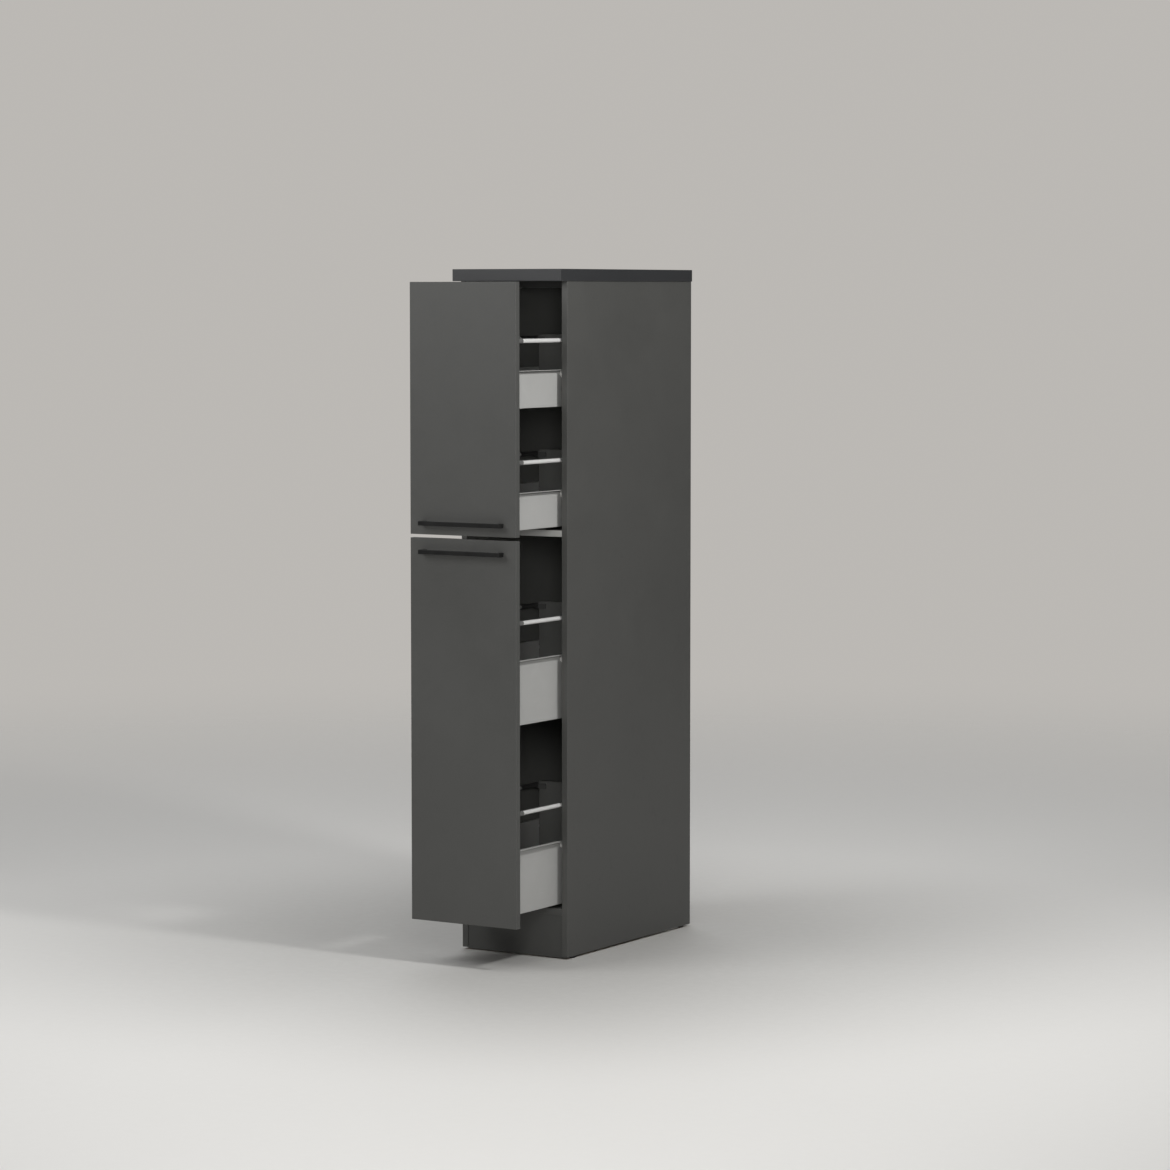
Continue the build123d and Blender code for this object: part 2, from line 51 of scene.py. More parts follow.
# ---------------------------------------------------------------- node helpers
class Mat:
    """A node material read in the piece's own coordinates, in metres."""

    def __init__(self, name):
        self.m = bpy.data.materials.new(name)
        self.m.use_nodes = True
        self.nt = self.m.node_tree
        self.nt.nodes.clear()
        self.out = self.node("ShaderNodeOutputMaterial")
        self.b = self.node("ShaderNodeBsdfPrincipled")
        self.link(self.b.outputs["BSDF"], self.out.inputs["Surface"])
        tc = self.node("ShaderNodeTexCoord")
        self.co = tc.outputs["Object"]
        self.no = tc.outputs["Normal"]

    def node(self, kind, **attrs):
        n = self.nt.nodes.new(kind)
        for k, v in attrs.items():
            setattr(n, k, v)
        return n

    def link(self, a, b):
        self.nt.links.new(a, b)

    def put(self, socket, value):
        """A link if value is a socket, or else the value on the socket itself."""
        if isinstance(value, bpy.types.NodeSocket):
            self.link(value, socket)
        else:
            socket.default_value = value

    def math(self, op, a, b=None, c=None, clamp=False):
        n = self.node("ShaderNodeMath", operation=op, use_clamp=clamp)
        self.put(n.inputs[0], a)
        if b is not None:
            self.put(n.inputs[1], b)
        if c is not None:
            self.put(n.inputs[2], c)
        return n.outputs[0]

    def xyz(self, v):
        n = self.node("ShaderNodeSeparateXYZ")
        self.link(v, n.inputs[0])
        return n.outputs[0], n.outputs[1], n.outputs[2]

    def vec(self, x, y, z):
        n = self.node("ShaderNodeCombineXYZ")
        for i, v in enumerate((x, y, z)):
            self.put(n.inputs[i], v)
        return n.outputs[0]

    def stretch(self, scale, v=None, loc=(0, 0, 0)):
        n = self.node("ShaderNodeMapping")
        self.link(v or self.co, n.inputs["Vector"])
        n.inputs["Scale"].default_value = scale
        n.inputs["Location"].default_value = loc
        return n.outputs[0]

    def noise(self, scale, detail=2.0, rough=0.5, dist=0.0, v=None):
        n = self.node("ShaderNodeTexNoise")
        self.link(v or self.co, n.inputs["Vector"])
        n.inputs["Scale"].default_value = scale
        n.inputs["Detail"].default_value = detail
        n.inputs["Roughness"].default_value = rough
        n.inputs["Distortion"].default_value = dist
        return n.outputs["Fac"]

    def voronoi(self, scale, feature="F1", v=None, rand=1.0, out="Distance"):
        n = self.node("ShaderNodeTexVoronoi", feature=feature)
        self.link(v or self.co, n.inputs["Vector"])
        n.inputs["Scale"].default_value = scale
        n.inputs["Randomness"].default_value = rand
        return n.outputs[out]

    def span(self, v, lo, hi, out_lo=0.0, out_hi=1.0, smooth=False):
        n = self.node("ShaderNodeMapRange")
        n.interpolation_type = "SMOOTHSTEP" if smooth else "LINEAR"
        self.put(n.inputs["Value"], v)
        n.inputs["From Min"].default_value = lo
        n.inputs["From Max"].default_value = hi
        n.inputs["To Min"].default_value = out_lo
        n.inputs["To Max"].default_value = out_hi
        return n.outputs["Result"]

    def mix(self, fac, a, b, blend="MIX"):
        n = self.node("ShaderNodeMix", data_type="RGBA", blend_type=blend)
        self.put(n.inputs[0], fac)
        for i, v in ((6, a), (7, b)):
            self.put(n.inputs[i], v if isinstance(v, bpy.types.NodeSocket) else (*v, 1.0))
        return n.outputs[2]

    def mixf(self, fac, a, b):
        n = self.node("ShaderNodeMix", data_type="FLOAT")
        self.put(n.inputs[0], fac)
        self.put(n.inputs[2], a)
        self.put(n.inputs[3], b)
        return n.outputs[0]

    def ramp(self, v, stops):
        n = self.node("ShaderNodeValToRGB")
        self.link(v, n.inputs[0])
        e = n.color_ramp.elements
        while len(e) < len(stops):
            e.new(0.5)
        for i, (p, c) in enumerate(stops):
            e[i].position = p
            e[i].color = (*c, 1.0)
        return n.outputs[0]

    def bump(self, height, depth, below=None):
        """depth is the relief in metres for a height of 1."""
        n = self.node("ShaderNodeBump")
        n.inputs["Strength"].default_value = 1.0
        n.inputs["Distance"].default_value = depth
        self.link(height, n.inputs["Height"])
        if below is not None:
            self.link(below, n.inputs["Normal"])
        return n.outputs["Normal"]

    def edge_distances(self, lo, hi):
        """Distance from each pair of faces of the box lo..hi, one per axis."""
        out = []
        for p, a, b in zip(self.xyz(self.co), lo, hi):
            d = self.math("ABSOLUTE", self.math("SUBTRACT", p, (a + b) / 2))
            out.append(self.math("SUBTRACT", (b - a) / 2, d))
        return out

    def median(self, a, b, c):
        return self.math(
            "MAXIMUM", self.math("MINIMUM", a, b),
            self.math("MINIMUM", self.math("MAXIMUM", a, b), c))

    def smudges(self):
        """Slow change over the surface, from cleaning and handling."""
        a = self.noise(3.2, 3.0, 0.55, 0.4)
        b = self.noise(17.0, 4.0, 0.6, 0.8)
        return self.math("ADD", self.math("MULTIPLY", a, 0.62), self.math("MULTIPLY", b, 0.38))

    def scratches(self, scale, v, width=0.012):
        """Thin hairlines: the zero line of a stretched noise, broken by another."""
        n = self.noise(scale, 1.0, 0.4, 0.0, v)
        line = self.span(self.math("ABSOLUTE", self.math("SUBTRACT", n, 0.5)), 0.0, width, 1.0, 0.0)
        gate = self.span(self.noise(scale * 0.37, 2.0, 0.5, 0.0, self.co), 0.56, 0.68)
        return self.math("MULTIPLY", line, gate)


def setp(m, **kw):
    names = {
        "rough": "Roughness", "metal": "Metallic", "ior": "IOR", "spec": "Specular IOR Level",
        "coat": "Coat Weight", "coat_rough": "Coat Roughness", "sheen": "Sheen Weight",
        "sheen_rough": "Sheen Roughness", "sss": "Subsurface Weight", "sss_scale": "Subsurface Scale",
        "aniso": "Anisotropic", "color": "Base Color", "normal": "Normal",
    }
    for k, v in kw.items():
        s = m.b.inputs[names[k]]
        if k == "color" and not isinstance(v, bpy.types.NodeSocket):
            v = (*v, 1.0)
        m.put(s, v)


def dress(name, mat):
    o = NODES[name] if isinstance(name, str) else name
    o.data.materials.clear()
    o.data.materials.append(mat.m if isinstance(mat, Mat) else mat)


# ------------------------------------------------------------------- materials
AX = {"x": 0, "y": 1, "z": 2}


def chipboard(m, t_dist):
    """Cut face of a three-layer board: fine dust outside, coarse flakes inside."""
    core = m.voronoi(430.0, v=m.stretch((1.0, 1.0, 1.0)), out="Color")
    cval = m.xyz(core)[0]
    fine = m.noise(2600.0, 3.0, 0.65)
    coarse = m.ramp(cval, [(0.0, (0.16, 0.095, 0.05)), (0.28, (0.33, 0.22, 0.125)),
                           (0.62, (0.47, 0.335, 0.205)), (1.0, (0.62, 0.47, 0.31))])
    skin = m.ramp(fine, [(0.3, (0.30, 0.205, 0.125)), (0.7, (0.50, 0.37, 0.24))])
    inside = m.span(t_dist, 0.0018, 0.0034, 0.0, 1.0, smooth=True)
    colour = m.mix(inside, skin, coarse)
    gap = m.voronoi(430.0, feature="DISTANCE_TO_EDGE")
    pit = m.math("MULTIPLY", m.span(gap, 0.0, 0.09, 0.0, 1.0), 1.0)
    colour = m.mix(m.math("MULTIPLY", m.math("SUBTRACT", 1.0, pit), inside), colour, (0.10, 0.06, 0.035))
    height = m.math("ADD", m.math("MULTIPLY", m.mixf(inside, 1.0, pit), 0.8), m.math("MULTIPLY", fine, 0.2))
    return colour, height


def board(name, box, thick, tint, tint2, raw=(), banded=True, grain=1.0, rough=0.50,
          painted_light_faces=(), painted_light_factor=1.0, edge_tone_and_painted_light=0.93, matt_top=False):
    """Melamine-faced board with 1 mm edging and a soft pearl texture.
    thick is its thickness axis and raw the directions of its uncovered cut faces.
    The faces listed for painted light have their decor multiplied by the factor
    given with them: painted light where it is above 1, painted shade below 1.
    The edge tone is the edging's tone against the decor's, and above 1 it is
    painted light on the edging; matt_top makes the upper face duller than the edges."""
    m = Mat(name)
    lo, hi = box
    d = m.edge_distances(lo, hi)
    n = m.xyz(m.no)
    t = AX[thick]
    others = [i for i in range(3) if i != t]
    # decor: a slow cloud, a fine mottle and the pearl grain
    cloud = m.smudges()
    mottle = m.noise(260.0, 3.0, 0.6)
    pearl = m.noise(1500.0, 2.0, 0.55)
    speck = m.voronoi(900.0, out="Distance")
    colour = m.mix(m.span(cloud, 0.33, 0.67, 0.0, 1.0), tint, tint2)
    colour = m.mix(m.span(mottle, 0.35, 0.65, 0.0, 0.10), colour, tuple(c * 1.35 for c in tint2))
    colour = m.mix(m.span(pearl, 0.40, 0.62, 0.10, 0.0), colour, tuple(c * 0.6 for c in tint))
    # painted light and shade: the listed faces' decor is multiplied by the given factor
    for a in painted_light_faces:
        i, s = AX[a[1]], (1.0 if a[0] == "+" else -1.0)
        inside = m.span(m.math("MULTIPLY", n[i], s), 0.6, 0.8)
        colour = m.mix(inside, colour, m.mix(1.0, colour, (painted_light_factor, painted_light_factor, painted_light_factor), "MULTIPLY"))
    r = m.math("ADD", m.span(cloud, 0.3, 0.7, rough - 0.045, rough + 0.045), m.span(pearl, 0.3, 0.7, -0.03, 0.03))
    # fingermarks dull the sheen here and there
    marks = m.span(m.noise(46.0, 3.0, 0.5, 0.6), 0.60, 0.72, 0.0, 1.0)
    r = m.math("ADD", r, m.math("MULTIPLY", marks, 0.05))
    relief = m.math("ADD", m.math("MULTIPLY", pearl, 0.7), m.math("MULTIPLY", speck, 0.3))
    # worn arris
    e = m.median(*d)
    chew = m.noise(420.0, 3.0, 0.6)
    wear = m.math("MULTIPLY", m.span(e, 0.0, 0.0011, 1.0, 0.0, smooth=True), m.span(chew, 0.42, 0.66, 0.15, 1.0))
    colour = m.mix(m.math("MULTIPLY", wear, 0.34), colour, tuple(min(1.0, c * 2.3) for c in tint2))
    r = m.math("SUBTRACT", r, m.math("MULTIPLY", wear, 0.08))
    normal = m.bump(relief, 0.000035 * grain)
    if banded:
        # hairline where the edging meets the face, and a plainer edging strip
        broad = m.span(m.math("ABSOLUTE", n[t]), 0.6, 0.8)
        off = m.math("ABSOLUTE", m.math("SUBTRACT", m.math("MINIMUM", d[others[0]], d[others[1]]), 0.00115))
        seam = m.math("MULTIPLY", m.span(off, 0.00005, 0.00016, 1.0, 0.0), broad)
        colour = m.mix(m.math("MULTIPLY", seam, 0.55), colour, tuple(c * 0.35 for c in tint))
        normal = m.bump(m.math("SUBTRACT", 1.0, seam), 0.00006, normal)
        edging = m.math("SUBTRACT", 1.0, broad)
        # edging tone against the decor; above 1 it is painted light on the edging
        colour = m.mix(m.math("MULTIPLY", edging, 0.5), colour, tuple(c * edge_tone_and_painted_light for c in tint2))
        r = m.math("SUBTRACT", r, m.math("MULTIPLY", edging, 0.04))
    if raw:
        parts = []
        for a in raw:
            i, s = AX[a[1]], (1.0 if a[0] == "+" else -1.0)
            parts.append(m.span(m.math("MULTIPLY", n[i], s), 0.6, 0.8))
        f = parts[0]
        for p in parts[1:]:
            f = m.math("MAXIMUM", f, p)
        cc, ch = chipboard(m, d[t])
        colour = m.mix(f, colour, cc)
        r = m.mixf(f, r, 0.86)
        normal = m.bump(m.math("MULTIPLY", ch, f), 0.00022, normal)
    if matt_top:
        r = m.mixf(m.span(n[2], 0.6, 0.8), r, m.span(cloud, 0.3, 0.7, 0.80, 0.90))
    setp(m, color=colour, rough=r, normal=normal, ior=1.5)
    return m


FRONT = (0.0765, 0.0770, 0.0732), (0.0870, 0.0875, 0.0838)
BODY = (0.0740, 0.0745, 0.0710), (0.0845, 0.0850, 0.0808)
TOP = (0.0318, 0.0330, 0.0352), (0.0370, 0.0382, 0.0405)

dress("upper_front", board("upper_front_board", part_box("upper_front"), "y", *FRONT))
dress("lower_front", board("lower_front_board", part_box("lower_front"), "y", *FRONT))
INNER_PAINTED_LIGHT = 2.5          # painted light: the carcass decor is 2.5 times as light on its inside faces
for s, way in (("left", "+x"), ("right", "-x")):
    # painted light on the side panels: inside faces 2.5 times as light, front edging at 1.25 against 0.93
    dress("side_panel_" + s, board("side_board_" + s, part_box("side_panel_" + s), "x", *BODY, raw=("+y", "-z", "+z"), painted_light_faces=(way,), painted_light_factor=INNER_PAINTED_LIGHT, edge_tone_and_painted_light=1.25))
dress("bottom_panel", board("bottom_board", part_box("bottom_panel"), "z", *BODY, raw=("+y",), painted_light_faces=("+z",), painted_light_factor=INNER_PAINTED_LIGHT))
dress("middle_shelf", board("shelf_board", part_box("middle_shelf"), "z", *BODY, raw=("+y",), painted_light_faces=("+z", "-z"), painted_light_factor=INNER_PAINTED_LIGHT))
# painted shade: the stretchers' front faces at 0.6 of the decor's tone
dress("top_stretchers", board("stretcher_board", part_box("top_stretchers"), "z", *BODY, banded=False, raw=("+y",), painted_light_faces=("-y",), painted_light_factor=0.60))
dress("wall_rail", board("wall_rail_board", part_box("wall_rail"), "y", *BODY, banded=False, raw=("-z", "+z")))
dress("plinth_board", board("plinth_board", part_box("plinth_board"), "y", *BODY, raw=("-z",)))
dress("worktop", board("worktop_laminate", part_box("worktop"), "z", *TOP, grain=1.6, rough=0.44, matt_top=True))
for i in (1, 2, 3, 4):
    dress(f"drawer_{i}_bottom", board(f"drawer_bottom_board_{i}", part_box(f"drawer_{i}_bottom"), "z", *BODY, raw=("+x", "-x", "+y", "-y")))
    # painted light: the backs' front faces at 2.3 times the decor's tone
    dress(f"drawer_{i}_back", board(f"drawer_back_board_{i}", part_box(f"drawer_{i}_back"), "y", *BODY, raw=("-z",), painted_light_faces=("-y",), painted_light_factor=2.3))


def strip():
    """Light ABS edging on the middle shelf."""
    m = Mat("edge_strip_abs")
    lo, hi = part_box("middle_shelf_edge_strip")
    d = m.edge_distances(lo, hi)
    fine = m.noise(1300.0, 2.0, 0.5, v=m.stretch((0.08, 1, 1)))
    cloud = m.smudges()
    colour = m.mix(m.span(cloud, 0.3, 0.7), (0.50, 0.50, 0.48), (0.57, 0.57, 0.55))
    colour = m.mix(m.span(fine, 0.3, 0.7, 0.0, 0.12), colour, (0.40, 0.40, 0.38))
    colour = m.mix(m.span(m.math("MINIMUM", d[0], d[2]), 0.0, 0.0008, 0.5, 0.0), colour, (0.25, 0.25, 0.24))
    setp(m, color=colour, rough=m.span(fine, 0.3, 0.7, 0.34, 0.46), normal=m.bump(fine, 0.00001))
    return m


dress("middle_shelf_edge_strip", strip())


def hardboard():
    """Thin back panel: decor inside, raw brown fibreboard towards the wall."""
    m = Mat("back_panel_hardboard")
    n = m.xyz(m.no)
    behind = m.span(n[1], 0.4, 0.6)
    fibre = m.noise(520.0, 5.0, 0.7, 1.2, v=m.stretch((1.0, 1.0, 0.55)))
    fine = m.noise(2400.0, 2.0, 0.6)
    flake = m.noise(60.0, 3.0, 0.6, 0.5)
    brown = m.ramp(fibre, [(0.30, (0.135, 0.082, 0.045)), (0.5, (0.205, 0.132, 0.077)), (0.72, (0.275, 0.188, 0.118))])
    brown = m.mix(m.span(flake, 0.35, 0.65, 0.0, 0.30), brown, (0.16, 0.105, 0.064))
    cloud = m.smudges()
    dark = m.mix(m.span(cloud, 0.35, 0.65), (0.118, 0.115, 0.109), (0.136, 0.133, 0.127))
    colour = m.mix(behind, dark, brown)
    normal = m.bump(m.math("ADD", m.math("MULTIPLY", fibre, 0.6), m.math("MULTIPLY", fine, 0.4)), 0.00008)
    setp(m, color=colour, rough=m.mixf(behind, 0.52, m.span(fibre, 0.3, 0.7, 0.66, 0.82)), normal=normal)
    return m


dress("back_panel", hardboard())


def coated_steel(name, c1, c2, rough, lo, hi, peel=1.0, spark=0.0, rim=0.0):
    """Powder-coated sheet: orange peel, a fine grit, rubbed arrises.
    rim is how far down the outside below the rim is darkened, in streaks, as painted shade under the rim."""
    m = Mat(name)
    peel_n = m.noise(620.0, 2.0, 0.45)
    fine = m.noise(3400.0, 2.0, 0.5)
    cloud = m.smudges()
    rub = m.scratches(90.0, m.stretch((1.0, 0.05, 1.0)))
    d = m.edge_distances(lo, hi)
    colour = m.mix(m.span(cloud, 0.32, 0.68), c1, c2)
    colour = m.mix(m.span(peel_n, 0.35, 0.65, 0.0, 0.10), colour, tuple(c * 0.8 for c in c1))
    colour = m.mix(m.math("MULTIPLY", rub, 0.18), colour, tuple(min(1.0, c * 1.25) for c in c2))
    if spark:
        glint = m.span(m.voronoi(5200.0, out="Distance"), 0.0, 0.16, spark, 0.0)
        colour = m.mix(glint, colour, tuple(min(1.0, c * 1.6) for c in c2))
    # painted shade: a darker streaked band on the outside and underside just below the rim
    if rim:
        x, y, z = m.xyz(m.co)
        painted_shade_band = m.math("MULTIPLY", m.span(z, hi.z - rim - 0.0012, hi.z - rim), m.math("LESS_THAN", z, hi.z - 0.0011))
        out = m.span(m.math("MULTIPLY", m.xyz(m.no)[0], 1.0 if lo.x > 0 else -1.0), 0.5, 0.8)
        under = m.span(m.xyz(m.no)[2], -0.8, -0.5, 1.0, 0.0)
        streak = m.noise(500.0, 3.0, 0.6, v=m.stretch((1.0, 0.03, 1.0)))
        painted_shade_band = m.math("MULTIPLY", painted_shade_band, m.math("MAXIMUM", out, under))
        colour = m.mix(m.math("MULTIPLY", painted_shade_band, m.span(streak, 0.3, 0.7, 0.75, 1.0)), colour, tuple(c * 0.42 for c in c1))
    e = m.median(*d)
    wear = m.math("MULTIPLY", m.span(e, 0.0, 0.0009, 1.0, 0.0), m.span(m.noise(160.0, 3.0, 0.6), 0.45, 0.62))
    colour = m.mix(m.math("MULTIPLY", wear, 0.35), colour, tuple(c * 0.62 for c in c1))
    r = m.math("ADD", m.span(cloud, 0.3, 0.7, rough - 0.04, rough + 0.05), m.math("MULTIPLY", rub, -0.06))
    relief = m.math("ADD", m.math("MULTIPLY", peel_n, 0.75), m.math("MULTIPLY", fine, 0.25))
    setp(m, color=colour, rough=r, normal=m.bump(relief, 0.000028 * peel))
    return m


STEEL = (0.415, 0.415, 0.405), (0.458, 0.458, 0.448)
for i in (1, 2, 3, 4):
    for s in ("left", "right"):
        node = f"drawer_{i}_side_{s}"
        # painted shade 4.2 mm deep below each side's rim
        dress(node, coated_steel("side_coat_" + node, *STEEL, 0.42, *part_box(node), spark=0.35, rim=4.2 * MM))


def rail_steel(node):
    """Runner: the same coat, polished grey where the rollers run."""
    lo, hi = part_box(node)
    m = Mat("runner_coat_" + node)
    peel_n = m.noise(620.0, 2.0, 0.45)
    cloud = m.smudges()
    x, y, z = m.xyz(m.co)
    n = m.xyz(m.no)
    colour = m.mix(m.span(cloud, 0.32, 0.68), (0.40, 0.40, 0.39), (0.45, 0.45, 0.44))
    mid = (124.4 * MM) * (1 if node.endswith("right") else -1)
    track = m.span(m.math("ABSOLUTE", m.math("SUBTRACT", x, mid)), 0.0022, 0.0037, 1.0, 0.0)
    up = m.span(n[2], 0.6, 0.8)
    streak = m.noise(900.0, 3.0, 0.6, v=m.stretch((1.0, 0.012, 1.0)))
    track = m.math("MULTIPLY", m.math("MULTIPLY", track, up), m.span(streak, 0.3, 0.6, 0.35, 1.0))
    colour = m.mix(m.math("MULTIPLY", track, 0.75), colour, (0.16, 0.16, 0.165))
    r = m.mixf(track, m.span(cloud, 0.3, 0.7, 0.38, 0.46), 0.24)
    setp(m, color=colour, rough=r, metal=m.math("MULTIPLY", track, 0.6), normal=m.bump(peel_n, 0.00002))
    return m


dress("cabinet_rails_left", rail_steel("cabinet_rails_left"))
dress("cabinet_rails_right", rail_steel("cabinet_rails_right"))


def gallery(node):
    """Round rail in a satin white coat, with the faint lengthwise draw marks of tube."""
    m = Mat("gallery_coat_" + node)
    draw = m.noise(800.0, 3.0, 0.6, v=m.stretch((1.0, 0.01, 1.0)))
    peel_n = m.noise(700.0, 2.0, 0.4)
    cloud = m.smudges()
    colour = m.mix(m.span(cloud, 0.3, 0.7), (0.68, 0.68, 0.67), (0.74, 0.74, 0.73))
    colour = m.mix(m.span(draw, 0.35, 0.7, 0.0, 0.10), colour, (0.56, 0.56, 0.55))
    relief = m.math("ADD", m.math("MULTIPLY", draw, 0.5), m.math("MULTIPLY", peel_n, 0.5))
    setp(m, color=colour, rough=m.span(cloud, 0.3, 0.7, 0.20, 0.30), normal=m.bump(relief, 0.000012), coat=0.35, coat_rough=0.12)
    return m


def moulded(name, c1, c2, rough=0.48, scale=1700.0, depth=0.00002, behind=None):
    """Moulded plastic with a spark-eroded surface. behind is (y, x, shade):
    what lies beyond both is darkened to that many times as light, as painted
    shade on the rear sleeves."""
    m = Mat(name)
    spark = m.voronoi(scale, feature="SMOOTH_F1")
    fine = m.noise(scale * 1.9, 2.0, 0.5)
    cloud = m.smudges()
    colour = m.mix(m.span(cloud, 0.32, 0.68), c1, c2)
    colour = m.mix(m.span(fine, 0.35, 0.65, 0.0, 0.10), colour, tuple(c * 0.72 for c in c1))
    dust = m.span(m.noise(900.0, 2.0, 0.6), 0.66, 0.78, 0.0, 0.15)
    colour = m.mix(dust, colour, tuple(min(1.0, c * 1.7 + 0.02) for c in c2))
    if behind:
        x, y, z = m.xyz(m.co)
        # painted shade: the rear sleeves beyond the board's edge darkened
        rear_painted_shade = m.math("MULTIPLY", m.math("GREATER_THAN", y, behind[0]), m.math("GREATER_THAN", m.math("ABSOLUTE", x), behind[1]))
        colour = m.mix(rear_painted_shade, colour, m.mix(1.0, colour, (behind[2],) * 3, "MULTIPLY"))
    setp(m, color=colour, rough=m.math("ADD", m.span(cloud, 0.3, 0.7, rough - 0.05, rough + 0.05), m.span(fine, 0.3, 0.7, -0.03, 0.03)),
         normal=m.bump(m.math("ADD", spark, m.math("MULTIPLY", fine, 0.4)), depth))
    return m


for u in ("upper", "lower"):
    dress(u + "_gallery_rails", gallery(u + "_gallery_rails"))
    # painted shade: the rear sleeves at half tone
    dress(u + "_rail_sockets", moulded("socket_plastic_" + u, (0.115, 0.115, 0.113), (0.145, 0.145, 0.142), behind=(-0.1, 0.1162, 0.5)))
dress("floor_glides", moulded("glide_plastic", (0.018, 0.018, 0.018), (0.026, 0.026, 0.026), rough=0.55))


def nylon(node, centres, radius):
    """White nylon roller; the tread is greyed along the middle by running."""
    m = Mat("nylon_" + node)
    x, y, z = m.xyz(m.co)
    (cy, cz), (xm) = centres
    rad = m.math("SQRT", m.math("ADD", m.math("POWER", m.math("SUBTRACT", y, cy), 2.0),
                                m.math("POWER", m.math("SUBTRACT", z, cz), 2.0)))
    tread = m.span(rad, radius - 0.0006, radius - 0.0001, 0.0, 1.0)
    mid = m.span(m.math("ABSOLUTE", m.math("SUBTRACT", m.math("ABSOLUTE", x), xm)), 0.0012, 0.0028, 1.0, 0.0)
    fine = m.noise(1900.0, 3.0, 0.55)
    grime = m.noise(520.0, 3.0, 0.6)
    colour = m.mix(m.span(fine, 0.3, 0.7), (0.80, 0.79, 0.76), (0.86, 0.855, 0.83))
    ring = m.span(m.math("ABSOLUTE", m.math("SUBTRACT", rad, radius * 0.72)), 0.0, 0.0004, 1.0, 0.0)
    f = m.math("MULTIPLY", m.math("MULTIPLY", tread, mid), m.span(grime, 0.3, 0.65, 0.35, 0.85))
    colour = m.mix(f, colour, (0.36, 0.355, 0.345))
    colour = m.mix(m.math("MULTIPLY", ring, 0.18), colour, (0.55, 0.545, 0.53))
    setp(m, color=colour, rough=m.mixf(f, m.span(fine, 0.3, 0.7, 0.34, 0.44), 0.28), normal=m.bump(fine, 0.000018))
    return m


def middle(node):
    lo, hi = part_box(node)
    return (lo + hi) / 2


for i in (1, 2, 3, 4):
    for kind, radius, xm in (("cabinet", 8.0 * MM, 123.4 * MM), ("drawer", 8.8 * MM, 124.4 * MM)):
        node = f"{kind}_rollers_{i}"
        c = middle(node)
        dress(node, nylon(node, ((c.y, c.z), xm), radius))


def zinc(name, c1=(0.56, 0.57, 0.60), c2=(0.66, 0.66, 0.67), rough=0.30, warm=0.25):
    """Bright zinc plate with a faint iridescent passivation and fine scuffs."""
    m = Mat(name)
    cloud = m.noise(240.0, 3.0, 0.6, 0.5)
    grit = m.noise(2600.0, 3.0, 0.6)
    hair = m.scratches(340.0, m.stretch((1.0, 0.15, 1.0)))
    colour = m.mix(m.span(cloud, 0.35, 0.65), c1, c2)
    tint = m.ramp(m.noise(150.0, 2.0, 0.5, 1.0), [(0.35, (0.60, 0.62, 0.70)), (0.5, (0.70, 0.70, 0.68)), (0.65, (0.74, 0.69, 0.56))])
    colour = m.mix(warm, colour, tint)
    r = m.math("ADD", m.span(cloud, 0.3, 0.7, rough - 0.06, rough + 0.08), m.span(grit, 0.3, 0.7, -0.04, 0.04))
    setp(m, color=colour, metal=1.0, rough=m.math("ADD", r, m.math("MULTIPLY", hair, 0.12)), normal=m.bump(grit, 0.000012))
    return m


zinc_screw = zinc("screw_zinc")
cast_zinc = zinc("cam_zinc", (0.42, 0.42, 0.43), (0.52, 0.52, 0.53), 0.46, 0.08)
pressed_zinc = zinc("bracket_zinc", (0.55, 0.56, 0.585), (0.63, 0.63, 0.64), 0.34, 0.30)
rivet = zinc("rivet_zinc", (0.50, 0.50, 0.52), (0.60, 0.60, 0.61), 0.33, 0.12)
for nm in ("worktop_screws", "cabinet_rail_screws", "upper_drawer_screws", "lower_drawer_screws",
           "upper_handle_screws", "lower_handle_screws"):
    dress(nm, zinc_screw)
for nm in ("cam_housings", "cam_bolts"):
    dress(nm, cast_zinc)
for nm in ("upper_front_brackets", "lower_front_brackets"):
    dress(nm, pressed_zinc)
for nm in ("cabinet_roller_pins", "upper_roller_pins", "lower_roller_pins"):
    dress(nm, rivet)


def beech():
    m = Mat("dowel_beech")
    rings = m.noise(900.0, 4.0, 0.6, 0.3, v=m.stretch((0.06, 1.0, 1.0)))
    ray = m.noise(2200.0, 2.0, 0.5, v=m.stretch((0.15, 1.0, 0.4)))
    colour = m.ramp(rings, [(0.3, (0.42, 0.27, 0.15)), (0.55, (0.58, 0.41, 0.25)), (0.75, (0.66, 0.49, 0.32))])
    colour = m.mix(m.span(ray, 0.6, 0.75, 0.0, 0.4), colour, (0.36, 0.22, 0.12))
    setp(m, color=colour, rough=m.span(rings, 0.3, 0.7, 0.55, 0.68), normal=m.bump(rings, 0.00005))
    return m


dress("wood_dowels", beech())


def handle_coat(node):
    """Satin black coat, a little rubbed on the arrises that hands touch."""
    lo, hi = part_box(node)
    m = Mat("handle_coat_" + node)
    grit = m.noise(2400.0, 3.0, 0.6)
    peel_n = m.noise(700.0, 2.0, 0.5)
    cloud = m.noise(38.0, 4.0, 0.6, 0.6)
    d = m.edge_distances(lo, hi)
    e = m.median(*d)
    colour = m.mix(m.span(cloud, 0.35, 0.65), (0.0086, 0.0086, 0.0085), (0.0136, 0.0136, 0.0133))
    wear = m.math("MULTIPLY", m.span(e, 0.0, 0.0010, 1.0, 0.0), m.span(m.noise(240.0, 4.0, 0.65), 0.48, 0.66))
    colour = m.mix(m.math("MULTIPLY", wear, 0.35), colour, (0.055, 0.054, 0.052))
    r = m.math("ADD", m.span(cloud, 0.3, 0.7, 0.46, 0.58), m.math("MULTIPLY", wear, -0.10))
    relief = m.math("ADD", m.math("MULTIPLY", grit, 0.5), m.math("MULTIPLY", peel_n, 0.5))
    setp(m, color=colour, rough=r, normal=m.bump(relief, 0.00003), spec=0.25)
    return m


for u in ("upper", "lower"):
    dress(u + "_handle", handle_coat(u + "_handle"))


